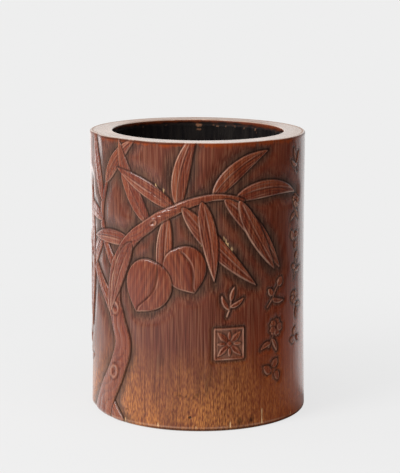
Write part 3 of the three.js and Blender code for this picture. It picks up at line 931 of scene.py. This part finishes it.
def lay(tree, under, over, pattern, low=0.0, high=1.0, most=1.0):
    """Lays one colour or one number over another as a pattern goes from low to high. Each is a hex
    value, a number or a node, and most is the most that the upper one covers."""
    span = {"From Min": low, "From Max": high, "To Max": most}
    share = add(tree, "MapRange", span, {"Value": pattern})
    data_type, first = ("FLOAT", 2) if isinstance(over, float) else ("RGBA", 6)
    both = {first: under, first + 1: over}
    plain = {key: value for key, value in both.items() if isinstance(value, (str, float))}
    made = {key: value for key, value in both.items() if key not in plain}
    return add(tree, "Mix", {"data_type": data_type} | plain, {0: share} | made)


def lay_all(tree, under, *layers):
    """Lays one layer after another, each given as lay takes it from its second colour on."""
    for layer in layers:
        under = lay(tree, under, *layer)
    return under


def finish(tree, settings, links):
    """The surface itself, wired to the material's output."""
    surface = add(tree, "BsdfPrincipled", settings, links)
    add(tree, "OutputMaterial", {}, {"Surface": surface})


def carved_bamboo():
    """Old bamboo, carved, scraped and rubbed with wax: red-brown skin with fine upright fibres,
    smoother and redder on the raised motifs, dull grey-brown in the cut ground, pale on worn
    edges, golden with short fibre ends near the foot, and dotted where the tube was sawn across.
    Painted light is laid in too: highlight on the worn edges, shade beside the motifs, in grooves,
    under the rim and along the foot, one half of each leaf lighter than the other, and bounce
    light low on the right."""
    material, tree, place = new_material("carved_waxed_bamboo")
    work_and_light = ("raised", "strand", "sunk", "edge", "painted_shade_and_scuffs", "split", "rubbed")
    mask = read_masks(tree, *work_and_light, "end", "bare", "stained", "aged")
    parts = add(tree, "SeparateXYZ", {}, {0: place})
    low_down = add(tree, "MapRange", {"From Min": 0.052, "From Max": 0.006}, {"Value": parts.outputs["Z"]})
    # Fibres lie about 0.5 mm apart, and broader bands of colour run along them
    fine = grain(tree, place, 0.5, 20, detail=0.0)
    tint = grain(tree, place, 1.4, 60, detail=1.0)
    broad = grain(tree, place, 9, 160)
    cloud = grain(tree, place, 26, 45)
    speckle = grain(tree, place, 0.6, 1.1, contrast=0.7)
    strokes = grain(tree, place, 0.48, 2.3, detail=0.0)
    # Vessel bundles show as dots 0.4 mm wide, about 1 mm apart
    upright = add(tree, "Mapping", {"Scale": (1050, 1050, 60)}, {"Vector": place})
    bundles = add(tree, "TexVoronoi", {"Scale": 1.0}, {"Vector": upright})
    near_foot = add(tree, "Math", {"operation": "MULTIPLY"}, {0: low_down, 1: cloud})
    # Low on the right the skin turns brighter and more orange: partly its own tone, partly painted bounce
    # light from the paper
    low_half = add(tree, "MapRange", {"From Min": 0.105, "From Max": 0.045}, {"Value": parts.outputs["Z"]})
    low_right_tone_and_bounce_light = add(tree, "Math", {"operation": "MULTIPLY"}, {0: low_half, 1: parts.outputs["X"]})
    golden = lay_all(tree, "#74391D", ("#BC7639", strokes, 0.3, 0.7), ("#562915", fine, 0.5, 0.3, 0.5))
    ground = lay_all(tree, "#2C1B13", ("#4E3729", fine, 0.36, 0.6), ("#6E5544", speckle, 0.56, 0.72, 0.5))
    relief = lay_all(
        tree, "#521A0C",
        ("#8A4222", mask["strand"], 0.15, 0.9),
        ("#6E2A1C", cloud, 0.35, 0.65, 0.5),
        ("#350F08", fine, 0.5, 0.3, 0.4),
        ("#A06A4C", fine, 0.52, 0.7, 0.35),
    )
    bore = lay_all(tree, "#5E2209", ("#843C17", speckle, 0.42, 0.58), ("#140D0B", mask["stained"]))
    sawn = lay_all(
        tree, "#9E8472",
        ("#BC9F8C", cloud, 0.3, 0.7),
        ("#634434", bundles, 0.32, 0.18, 0.4),
        ("#84583E", mask["aged"], 0.0, 1.0, 0.75),
    )
    skin = lay_all(
        tree, "#572616",
        ("#65301D", broad, 0.35, 0.65),
        ("#70372B", tint, 0.36, 0.62, 0.35),
        ("#82523A", fine, 0.5, 0.72, 0.62),
        ("#3A170D", fine, 0.48, 0.28, 0.5),
        (golden, near_foot, 0.08, 0.5, 0.9),
        ("#761F02", parts.outputs["X"], 0.012, 0.05, 0.25),
        ("#A03E0A", low_right_tone_and_bounce_light, 0.02, 0.056, 0.58),
        (ground, mask["sunk"], 0.0, 1.0, 0.8),
        (relief, mask["raised"], 0.0, 1.0, 0.9),
        ("#8E3A0C", mask["rubbed"], 0.0, 1.0, 0.8),
        # Pale rubbed edges carry painted highlight, and the dark layer is painted shade with real scuffs
        ("#C49C84", mask["edge"], 0.1, 1.0, 0.66),
        ("#1A0A06", mask["painted_shade_and_scuffs"], 0.1, 1.0, 0.85),
        ("#E6BC88", mask["split"], 0.35, 0.85, 0.92),
        (bore, mask["bare"]),
        (sawn, mask["end"]),
    )
    gloss = lay_all(tree, 0.15, (0.24, fine, 0.3, 0.7), (0.36, mask["sunk"]), (0.28, low_down))
    smoothed = {"raised": 0.2, "painted_shade_and_scuffs": 0.5, "edge": 0.52, "bare": 0.34, "end": 0.2, "aged": 0.5}
    gloss = lay_all(tree, gloss, *((value, mask[label]) for label, value in smoothed.items()))
    pores = grain(tree, place, 0.45, 6)
    rough = add(tree, "Math", {"operation": "MULTIPLY_ADD", 1: 0.5}, {0: pores, 2: fine})
    bump = add(tree, "Bump", {"Strength": 0.35, "Distance": 0.00012}, {"Height": rough})
    wax = lay_all(tree, 0.0, (0.42, mask["end"]), (0.0, mask["aged"]))
    # Scuffs and painted shade, scraped ground, rubbed places and bare bamboo hardly mirror at all
    dull = {"sunk": 0.3, "rubbed": 0.2, "painted_shade_and_scuffs": 0.1, "edge": 0.25, "bare": 0.3}
    shine = lay_all(tree, 0.5, *((value, mask[label]) for label, value in dull.items()))
    settings = {"IOR": 1.5, "Coat Roughness": 0.22}
    links = {"Base Color": skin, "Roughness": gloss, "Normal": bump, "Coat Weight": wax}
    finish(tree, settings, links | {"Specular IOR Level": shine})
    return material


def black_lacquer():
    """Black lacquer brushed on in thin coats, aged to a brown black, rubbed through to the bamboo
    near the rim, chipped in small tan flakes and dusty on the floor."""
    material, tree, place = new_material("brushed_black_lacquer")
    mask = read_masks(tree, "worn", "chipped", "dusty", "lip")
    brush = grain(tree, place, 2.4, 30, detail=3.0)
    skin = lay_all(
        tree, "#151314",
        ("#221E1C", brush, 0.35, 0.65),
        ("#4A3C34", mask["dusty"], 0.0, 1.0, 0.5),
        ("#4C2412", mask["worn"], 0.0, 1.0, 0.6),
        ("#946548", mask["chipped"], 0.0, 1.0, 0.85),
    )
    rough = {"dusty": 0.5, "worn": 0.55, "chipped": 0.6, "lip": 0.6}
    gloss = lay(tree, 0.12, 0.2, brush, 0.3, 0.7)
    gloss = lay_all(tree, gloss, *((value, mask[label]) for label, value in rough.items()))
    bump = add(tree, "Bump", {"Strength": 0.25, "Distance": 0.0001}, {"Height": brush})
    # Where the coat is thin or gone it is dull
    shine = lay_all(tree, 0.34, (0.1, mask["lip"]), (0.2, mask["worn"]), (0.2, mask["chipped"]))
    links = {"Base Color": skin, "Roughness": gloss, "Normal": bump, "Specular IOR Level": shine}
    finish(tree, {"IOR": 1.54}, links)
    return material


def turned_hardwood():
    """A hardwood disc, turned and oiled: dull brown with darker pores along the grain on X."""
    material, tree, place = new_material("turned_oiled_hardwood")
    tipped = add(tree, "Mapping", {"Rotation": (0, math.pi / 2, 0)}, {"Vector": place})
    pores = grain(tree, tipped.outputs[0], 1.4, 45)
    figure = grain(tree, tipped.outputs[0], 9, 120)
    skin = lay_all(tree, "#4A2F20", ("#6B4630", figure, 0.35, 0.65), ("#2E1B12", pores, 0.45, 0.3, 0.7))
    gloss = lay(tree, 0.6, 0.48, pores, 0.3, 0.7)
    bump = add(tree, "Bump", {"Strength": 0.4, "Distance": 0.0002}, {"Height": pores})
    finish(tree, {"IOR": 1.5}, {"Base Color": skin, "Roughness": gloss, "Normal": bump})
    return material


def split_bamboo_peg():
    """A peg split from bamboo and cut flush: its dark end shows vessel dots 0.4 mm apart."""
    material, tree, place = new_material("split_bamboo_peg")
    dots = add(tree, "TexVoronoi", {"Scale": 2400.0}, {"Vector": place})
    skin = lay(tree, "#140B07", "#3A2418", dots, 0.2, 0.5)
    finish(tree, {"IOR": 1.5, "Roughness": 0.5}, {"Base Color": skin})
    return material


# Pieces
piece_from(culm_wall_mesh(), carved_bamboo(), "culm_wall")
piece_from(lacquer_mesh(), black_lacquer(), "lacquer_lining")
piece_from(disc_mesh(), turned_hardwood(), "base_disc")
peg_bamboo = split_bamboo_peg()
for index, bearing in enumerate(PEG_BEARINGS, 1):
    piece_from(peg_mesh(index, bearing), peg_bamboo, f"base_peg_{index}")

# Camera, where the photograph was taken from
CAMERA_DISTANCE = 910.5
CAMERA_HEIGHT = 262.45
CAMERA_SIDE = 0.36
CAMERA_TILT = 79.386
CAMERA_ROLL = 0.4
CAMERA_LENS = 130.6
camera = in_scene(bpy.data.cameras.new("camera"))
camera.location = (CAMERA_SIDE * MM, -CAMERA_DISTANCE * MM, CAMERA_HEIGHT * MM)
camera.rotation_mode = "ZYX"
camera.rotation_euler = (math.radians(CAMERA_TILT), 0, math.radians(CAMERA_ROLL))
camera.data.lens = CAMERA_LENS
camera.data.sensor_width = 36
bpy.context.scene.camera = camera


# Studio: a seamless paper floor, bright to the left and behind, with the right side flagged off
BACKGROUND = "#EEEEEE"
FLOOR_REACH = 9.0
LEFT_GLOW = 1.2
BACK_GLOW = 1.2
FLAGGED = 0.03
HAZE = 0.35


def glow_round(tree, direction, away=None):
    """How bright the surroundings are in a level direction, from a unit vector. On the paper, the
    left dims further away, and close to the pot the brightness reaches round to the right. Behind
    the left edge it is brightest, and on the right a faint haze lies before the bright part."""
    parts = add(tree, "SeparateXYZ", {}, {0: direction})
    across, behind = parts.outputs["X"], parts.outputs["Y"]
    # What each share follows, from where to where, and the share at both
    shares = {"left": (across, 0.45, -0.85, FLAGGED, LEFT_GLOW), "more": (across, -0.2, -0.5, 1.0, 1.8)}
    if away is not None:
        shares["dimmed"] = (away, 0.22, 1.0, 1.0, 0.3)
        shares["close"] = (away, 0.11, 0.36, 0.44, 0.0)
        shares["further"] = (away, 0.12, 0.5, 0.5, 2.2)
        shares["fading"] = (away, 0.5, 0.95, 1.0, 0.1)
    shares["back"] = (behind, 0.53, 0.82, FLAGGED, BACK_GLOW)
    shares["haze"] = (behind, 0.05, 0.45, FLAGGED, HAZE)
    made = {}
    for label, (follows, *ends) in shares.items():
        span = dict(zip(("From Min", "From Max", "To Min", "To Max"), ends))
        made[label] = add(tree, "MapRange", span, {"Value": follows})
    if away is not None:
        reaching = add(tree, "Math", {"operation": "ADD"}, {0: made["close"], 1: behind})
        for label in ("back", "haze"):
            tree.links.new(reaching.outputs["Value"], made[label].inputs["Value"])
        tree.links.new(made["further"].outputs["Result"], made["more"].inputs["To Max"])
    for label, by in (("left", "dimmed"), ("back", "more"), ("haze", "fading")):
        if by in made:
            made[label] = add(tree, "Math", {"operation": "MULTIPLY"}, {0: made[label], 1: made[by]})
    brighter = add(tree, "Math", {"operation": "MAXIMUM"}, {0: made["left"], 1: made["back"]})
    return add(tree, "Math", {"operation": "MAXIMUM"}, {0: brighter, 1: made["haze"]})


def pale_paper():
    """A seamless sheet of matt paper. The camera sees it evenly pale with the pot's faint shadow,
    and the pot's gloss mirrors it bright to the left and behind."""
    material, tree, place = new_material("matt_background_paper")
    away = add(tree, "VectorMath", {"operation": "LENGTH"}, {0: place}).outputs["Value"]
    direction = add(tree, "VectorMath", {"operation": "NORMALIZE"}, {0: place})
    seen = add(tree, "LightPath")
    paper = add(tree, "BsdfDiffuse", {"Color": "#E0E0E0"})
    plain = add(tree, "Emission", {"Color": BACKGROUND})
    # For glossy rays the paper glows like a lamp, brightest to the left and behind, and the pot mirrors
    # that glow
    mirrored = add(tree, "Emission", {}, {"Strength": glow_round(tree, direction, away)})
    shadowed = {"From Min": 0.08, "From Max": 0.32, "To Min": 0.84}
    fading = add(tree, "MapRange", shadowed, {"Value": away})
    share = add(tree, "Math", {"operation": "MULTIPLY"}, {0: seen.outputs["Is Camera Ray"], 1: fading})
    surface = add(tree, "MixShader", {}, {0: share, 1: paper, 2: plain})
    surface = add(tree, "MixShader", {}, {0: seen.outputs["Is Glossy Ray"], 1: surface, 2: mirrored})
    add(tree, "OutputMaterial", {}, {"Surface": surface})
    return material


floor_mesh = bpy.data.meshes.new("floor")
floor_corners = [(x * FLOOR_REACH, y * FLOOR_REACH, 0) for x, y in ((-1, -1), (1, -1), (1, 1), (-1, 1))]
floor_mesh.from_pydata(floor_corners, [], [(0, 1, 2, 3)])
floor_mesh.materials.append(pale_paper())
in_scene(floor_mesh)


def soft_box(name, place, width, tall, power):
    """A flat lamp, in metres and watts, that faces the pot's middle."""
    lamp = bpy.data.lights.new(name, "AREA")
    lamp.shape = "RECTANGLE"
    lamp.size = width
    lamp.size_y = tall
    lamp.energy = power
    holder = in_scene(lamp)
    holder.location = place
    aim = np.array([0, 0, POT_HEIGHT * MM / 2]) - place
    away = math.hypot(aim[0], aim[1])
    holder.rotation_euler = (math.atan2(away, -aim[2]), 0, math.atan2(aim[1], aim[0]) - math.pi / 2)


soft_box("key_front_left", (-0.85, -0.75, 0.8), 0.55, 0.55, 15.0)
soft_box("fill_above", (0.25, -0.3, 1.3), 0.8, 0.8, 5.5)


def studio_world():
    """Surroundings above the floor: as bright all round as the floor below them."""
    world = bpy.data.worlds.new("studio")
    world.use_nodes = True
    tree = world.node_tree
    tree.nodes.clear()
    direction = add(tree, "TexCoord").outputs["Generated"]
    shaded = add(tree, "Background", {}, {"Strength": glow_round(tree, direction)})
    plain = add(tree, "Background", {"Color": BACKGROUND})
    camera_ray = add(tree, "LightPath").outputs["Is Camera Ray"]
    surface = add(tree, "MixShader", {}, {0: camera_ray, 1: shaded, 2: plain})
    add(tree, "OutputWorld", {}, {"Surface": surface})
    return world


bpy.context.scene.world = studio_world()
bpy.context.scene.view_settings.view_transform = "Standard"
